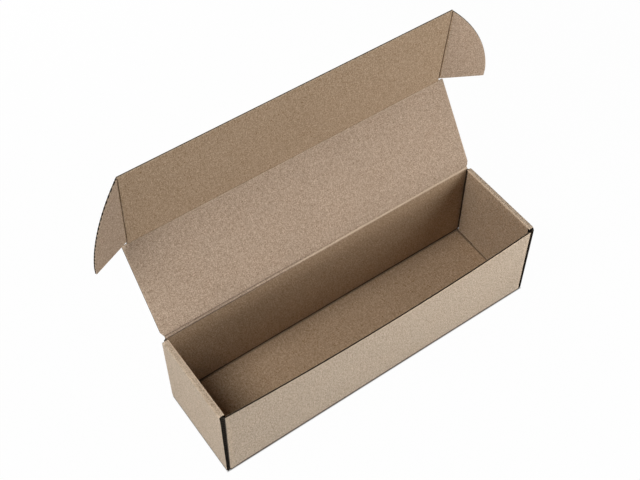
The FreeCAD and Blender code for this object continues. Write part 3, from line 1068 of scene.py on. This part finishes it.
def kraft_liner(name, colour, browner, fresh, pitch, seed, mottle):
    """Recycled kraft facing: cloudy formation, fine fibre speckle along and across the
    machine direction, sparse dark specks and light shives, the flutes telegraphing
    through, and fibre raised and bleached along cuts and folds, which on some folds and
    edges is painted highlight.  Painted shade darkens it in closed folds, and a darker,
    browner copy of its colour is painted where it lies in shade."""
    f = Finish(name)
    flat = f.sheet()
    sheet = f.placed(flat, (seed * 0.37, seed * 0.21, seed * 0.05))
    cloud = f.noise(sheet, 22.0)
    patch = f.noise(sheet, 120.0, roughness=0.55)
    grain = f.noise(sheet, 420.0, roughness=0.6)
    fine = f.noise(f.placed(sheet, (0, 0, 4.2)), 980.0, 1.0)
    dust = f.noise(sheet, 2300.0, roughness=0.6)
    along = f.noise(f.placed(sheet, (0, 0, 1.3), 0.15, (1500, 280, 1)), 1.0, distortion=0.4)
    across = f.noise(f.placed(sheet, (0, 0, 2.9), -0.8, (1300, 320, 1)), 1.0, distortion=0.4)
    tone = (cloud * 0.11 + patch * 0.13 + grain * 0.75 + fine * 1.55 + dust * 0.6
            + along * 0.6 + across * 0.5) * mottle
    wave = f.flutes(flat, pitch)
    edge, bend = f.attribute("edge"), f.attribute("bend")
    # The flutes showing through, their stripes on rolled bands, and painted shade in closed
    # folds.
    shadow = 1.0 + wave * 0.006 + wave * bend * 0.03 - f.darkening()

    spot, chance = f.cells(sheet, 75.0)
    size = f.clamp((chance - 0.62) * 0.11)
    speck = f.clamp((size - spot + grain * 0.02) * 60.0)
    fleck, pick = f.cells(f.placed(sheet, (0.1, 0, 0.7), 0.5, (1, 2.4, 1)), 210.0)
    pale = f.clamp((f.clamp((pick - 0.55) * 0.35) - fleck) * 12.0)
    dark = f.clamp((f.clamp((0.32 - pick) * 0.4) - fleck) * 12.0)

    warm, cool = tinted(colour, (1.006, 0.998, 0.992)), tinted(colour, (0.994, 1.002, 1.008))
    fibre = tuple(0.6 * c + 0.4 * colour[1] for c in colour)
    hue = f.clamp(f.noise(sheet, 34.0, 3.0, 0.6) * 2.2 + 0.5)
    # Painted shade: the browner copy where the paper lies in shade.
    base = f.mix(f.attribute("kept"), f.mix(hue, cool, warm), browner)
    base = f.node("ShaderNodeVectorMath", {"operation": "ADD"},
                  {0: base, 1: f.scale_colour(fibre, tone)})
    base = f.scale_colour(base, shadow)
    base = f.mix(pale * 0.22, base, fresh)
    base = f.mix(dark * 0.30, base, tinted(colour, 0.55))
    base = f.mix(speck * 0.75, base, tinted(colour, (0.30, 0.26, 0.24)))
    # Lighter raised fibre along cuts, and along folds where the bend is marked above nought;
    # on some folds and edges this is painted highlight.
    worn_and_highlight = f.clamp((edge - 0.45 + grain * 0.8) * 1.5) * 0.35 * (1 - f.clamp(0.0 - bend))
    worn_and_highlight = worn_and_highlight + f.clamp((bend - 0.35 + patch * 0.6 + grain * 0.5) * 1.4) * 0.75
    base = f.mix(f.clamp(worn_and_highlight), base, fresh)

    height = (grain * 0.5 + dust * 0.25 + along * 0.5 + across * 0.35 + patch * 0.5
              + wave * 0.55 + wave * bend * 0.8 + edge * dust * 1.2)
    roughness = f.clamp(0.84 + grain * 0.25 + pale * 0.08 - speck * 0.2 + worn_and_highlight * 0.2, 0.5, 1.0)
    return f.finish(base, roughness, height, 0.00006)


def cut_paper(name, colour, seed, pitch=None):
    """Sheared edge of a ply: short raised fibres, a little dust.  Where the cut crosses the
    flutes, it lightens and darkens once a flute."""
    f = Finish(name)
    flat = f.sheet()
    sheet = f.placed(flat, (0.2 * seed, 0, seed))
    fuzz = f.noise(sheet, 2600.0, roughness=0.6)
    uneven = f.noise(sheet, 320.0, 3.0, 0.6)
    # Painted shade darkens the cut where the bend is marked below nought.
    base = f.scale_colour(f.mix(f.clamp(uneven + 0.5), colour, tinted(colour, 0.86)),
                          (1.0 + fuzz * 0.35 + uneven * 0.25) * (1.0 - f.darkening()))
    if pitch:
        base = f.scale_colour(base, f.clamp(1.5 + f.flutes(flat, pitch) * 1.8, 0.2, 4.0))
    return f.finish(base, f.clamp(0.9 + fuzz * 0.2), fuzz + uneven, 0.00008, 0.2)


def fluting_paper(name, colour, seed):
    """Semi-chemical medium: coarse, with fibre lines along the flutes.  Its near-black
    colour and its darkening in closed folds are painted shade.
    """
    f = Finish(name)
    sheet = f.placed(f.sheet(), (0.3 * seed, 0.1, seed))
    coarse = f.noise(sheet, 260.0, 3.0, 0.6)
    lines = f.noise(f.placed(sheet, (0, 0, 3.1), 0.0, (240, 2200, 1)), 1.0)
    base = f.scale_colour(f.mix(f.clamp(coarse + 0.5), colour,
                                tinted(colour, (0.9, 0.84, 0.8))),
                          (1.0 + lines * 0.4 + coarse * 0.2) * (1.0 - f.darkening()))
    return f.finish(base, f.clamp(0.9 + lines * 0.2), lines + coarse, 0.00007, 0.2)


FINISHES = {}


def finishes_for(ply, dashed):
    """Finishes of a ply: its face, its cut rim and the side hidden in the board."""
    if not FINISHES:
        pitch, c = bpy.context.scene.gift_board.pitch, bpy.context.scene.gift_colours
        out, inn, kept, med, cut = (tuple(x) for x in (c.outside, c.inside, c.kept, c.medium,
                                                       c.edge))
        # Painted shade: the cut rims are a dark copy of the cut-edge colour, standing for the
        # shade in the open flutes.
        rim = tinted(cut, 0.28)
        FINISHES["outer"] = kraft_liner("outer_liner", out, kept, cut, pitch, 1, c.mottle)
        FINISHES["inner"] = kraft_liner("inner_liner", inn, kept, cut, pitch, 2, c.mottle)
        FINISHES["medium"] = fluting_paper("fluting_medium", med, 3)
        FINISHES["cut"] = cut_paper("cut_paper_edge", rim, 4)
        FINISHES["dashed"] = cut_paper("cut_across_flutes", rim, 5, pitch)
    return FINISHES[ply], FINISHES["dashed" if dashed else "cut"], FINISHES["medium"]


# ---- operators ----

def build_panel(name, regions, node=None, body=None, blend=None, dashed=False):
    """Builds the three plies of a panel, gives them their finishes and sets them on their
    body; a crease is left where it is built, with its transform baked in."""
    sheet = Sheet(bpy.context.scene.gift_board)
    for ply, label in (("outer", "outer_liner"), ("inner", "inner_liner"),
                       ("medium", "fluting")):
        piece = build_ply(f"{name}_{label}", sheet, ply, regions, finishes_for(ply, dashed))
        if blend:
            a, b, start, end = blend
            tuple(start * MM)
            tuple(end * MM)
            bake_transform(piece)
        else:
            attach(piece, body)
    if node:
        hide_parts(node)


class GIFTBOX_OT_tray(bpy.types.Operator):
    """Build the tray: floor, long walls with trapped corner flaps, and rolled ends"""

    bl_idname = "giftbox.tray"
    bl_label = "Tray"

    def execute(self, context):
        build_panel("tray", [base_region(), front_region(), rear_region()], "tray", "tray")
        build_panel("left_end", [end_region(-1)], body="tray")
        build_panel("right_end", [end_region(1)], body="tray")
        return {"FINISHED"}


class GIFTBOX_OT_lid(bpy.types.Operator):
    """Build the lid panel"""

    bl_idname = "giftbox.lid"
    bl_label = "Lid"

    def execute(self, context):
        build_panel("lid", [lid_region()], "lid", "lid")
        return {"FINISHED"}


class GIFTBOX_OT_tuck_flap(bpy.types.Operator):
    """Build the tuck flap with its two rounded ears"""

    bl_idname = "giftbox.tuck_flap"
    bl_label = "Tuck flap and ears"

    def execute(self, context):
        build_panel("tuck_flap", [tuck_region()], "tuck_flap", "tuck_flap")
        for side, name in EARS:
            build_panel(name, [ear_region(side)], name, name, dashed=True)
        return {"FINISHED"}


def crease_ends(at, before, after, reach=1.35):
    """Where a crease starts and ends its bend, along the directions of its panels."""
    return at - before * reach, at + after * reach


class GIFTBOX_OT_creases(bpy.types.Operator):
    """Build the scored bands that join the lid, the tuck flap and the ears"""

    bl_idname = "giftbox.creases"
    bl_label = "Creases"

    def execute(self, context):
        wall_up, lid_up, tuck_up = (leaning(lean)[0] for lean in (0.0, LID_LEAN, TUCK_LEAN))
        build_panel("lid_crease", [lid_crease_region()],
                    blend=("tray", "lid", *crease_ends(LID_AT, wall_up, lid_up)))
        build_panel("tuck_crease", [tuck_crease_region()],
                    blend=("lid", "tuck_flap", *crease_ends(TUCK_AT, lid_up, tuck_up)))
        for side, name in EARS:
            at, away, along, *_ = ear_frame(side)
            build_panel(f"{name}_crease", [ear_crease_region(side)],
                        blend=("tuck_flap", name, *crease_ends(at, away, along, 1.15)))
        return {"FINISHED"}


class GIFTBOX_OT_studio(bpy.types.Operator):
    """Set the pale floor, the soft lamps and the camera"""

    bl_idname = "giftbox.studio"
    bl_label = "Studio"

    def execute(self, context):
        studio, scene = context.scene.gift_studio, context.scene
        self.lay_floor(tuple(studio.floor))
        self.fill_room(scene, studio.fill)
        self.hang_lamps(studio)
        scene.camera = self.set_camera(studio.lens)
        scene.view_settings.view_transform = "Standard"
        return {"FINISHED"}

    def lay_floor(self, colour):
        """Square sweep just under the box."""
        reach, drop = 4.0, 0.0002
        floor = bpy.data.meshes.new("studio_floor")
        floor.from_pydata([(-reach, -reach, 0), (reach, -reach, 0), (reach, reach, 0),
                           (-reach, reach, 0)], [], [(0, 1, 2, 3)])
        ground = linked("studio_floor", floor)
        ground.location.z = -drop
        floor.materials.append(self.floor_finish(colour))

    @staticmethod
    def fill_room(scene, strength):
        """Even light all round, which the camera sees as plain white."""
        scene.world = bpy.data.worlds.new("studio_room")
        scene.world.use_nodes = True
        tree = scene.world.node_tree
        tree.nodes.clear()
        out = tree.nodes.new("ShaderNodeOutputWorld")
        seen = tree.nodes.new("ShaderNodeLightPath")
        mix = tree.nodes.new("ShaderNodeMixShader")
        tree.links.new(seen.outputs["Is Camera Ray"], mix.inputs[0])
        for k, power_of in ((1, strength), (2, 1.0)):
            light = tree.nodes.new("ShaderNodeBackground")
            light.inputs["Color"].default_value = (1, 1, 1, 1)
            light.inputs["Strength"].default_value = power_of
            tree.links.new(light.outputs[0], mix.inputs[k])
        tree.links.new(mix.outputs[0], out.inputs[0])

    @staticmethod
    def hang_lamps(studio):
        high, low = Vector((0, 0.02, 0.08)), Vector((0, 0, 0.06))
        for name, watts, size, place, target in (
                ("side_softbox", studio.side, (0.5, 0.5), (-0.631, 0.02, 0.981), high),
                ("front_softbox", studio.front, (0.45, 0.45), (0.478, -0.458, 0.326), high),
                ("front_strip", studio.strip, (0.6, 0.15), (0, -0.42, 0.10), low),
                ("low_softbox", studio.low, (0.4, 0.1), (-0.55, 0, 0.055), low),
                ("rear_softbox", studio.rear, (0.3, 0.3), (0, 0.85, 0.35), high)):
            lamp = bpy.data.lights.new(name, "AREA")
            lamp.shape, lamp.energy = "ELLIPSE" if size[0] == size[1] else "RECTANGLE", watts
            lamp.size, lamp.size_y = size
            box = linked(name, lamp)
            box.visible_camera = False
            box.location = place
            box.rotation_euler = (target - Vector(place)).to_track_quat("-Z", "Y").to_euler()

    @staticmethod
    def set_camera(length_mm):
        lens = bpy.data.cameras.new("camera")
        lens.lens, lens.sensor_width = length_mm, 36.0
        camera = linked("camera", lens)
        turn, rise = math.radians(CAMERA_TURN), math.radians(CAMERA_RISE)
        back = Vector((math.sin(turn) * math.cos(rise), -math.cos(turn) * math.cos(rise),
                       math.sin(rise)))
        right = Vector((math.cos(turn), math.sin(turn), 0))
        up = back.cross(right)
        camera.matrix_world = Matrix((right, up, back)).transposed().to_4x4()
        camera.location = sum((k * way for k, way in zip(CAMERA_AT, (back, right, up))),
                              Vector())
        return camera

    @staticmethod
    def floor_finish(colour):
        """Matt sweep that the camera sees nearly white, with the box's shadow kept; the
        whitening fades out where the tray stands, so gaps in the box stay dark."""
        f = Finish("studio_sweep")
        place = f.node("ShaderNodeTexCoord", {}, {}, "Object")
        matt = f.node("ShaderNodeBsdfDiffuse", {}, {
            "Color": colour, "Normal": f.node("ShaderNodeBump", {}, {
                "Strength": 0.2, "Distance": 0.0002, "Height": f.noise(place, 900.0)})})
        white = f.node("ShaderNodeEmission", {}, {"Color": (1, 1, 1), "Strength": 1.0})
        seen = f.node("ShaderNodeLightPath", {}, {}, "Is Camera Ray")
        inset, fade = 0.8, 1000.0           # mm inside the tray's outline; whitening per metre
        gap = [f.math("ABSOLUTE", f.part(place, k)) - (size - inset) * MM
               for k, size in ((0, HALF_L), (1, HALF_W))]
        clear = f.clamp(f.math("MAXIMUM", *gap) * fade)
        return f.shown(f.node("ShaderNodeMixShader", {}, {0: seen * clear * 0.98,
                                                          1: matt, 2: white}))


class GIFTBOX_PT_sidebar(bpy.types.Panel):
    """Sizes, colours and build steps of the gift box"""

    bl_label = "Gift box"
    bl_idname = "GIFTBOX_PT_sidebar"
    bl_space_type = "VIEW_3D"
    bl_region_type = "UI"
    bl_category = "Gift box"

    def draw(self, context):
        for title, settings in (("Board", context.scene.gift_board),
                                ("Papers", context.scene.gift_colours),
                                ("Studio", context.scene.gift_studio)):
            box = self.layout.box()
            box.label(text=title)
            for name in settings.__annotations__:
                box.prop(settings, name)
        for step in STEPS:
            self.layout.operator(step.bl_idname)


STEPS = (GIFTBOX_OT_tray, GIFTBOX_OT_lid, GIFTBOX_OT_tuck_flap, GIFTBOX_OT_creases,
         GIFTBOX_OT_studio)
CLASSES = (BoardSizes, BoardColours, StudioSettings, *STEPS, GIFTBOX_PT_sidebar)


def register():
    for cls in CLASSES:
        bpy.utils.register_class(cls)
    for name, kind in (("gift_board", BoardSizes), ("gift_colours", BoardColours),
                       ("gift_studio", StudioSettings)):
        setattr(bpy.types.Scene, name, bpy.props.PointerProperty(type=kind))


def unregister():
    for name in ("gift_board", "gift_colours", "gift_studio"):
        delattr(bpy.types.Scene, name)
    for cls in reversed(CLASSES):
        bpy.utils.unregister_class(cls)


def main():
    register()
    bpy.ops.giftbox.tray()
    bpy.ops.giftbox.lid()
    bpy.ops.giftbox.tuck_flap()
    bpy.ops.giftbox.creases()
    bpy.ops.giftbox.studio()
    bpy.context.view_layer.update()


if __name__ == "__main__":
    main()
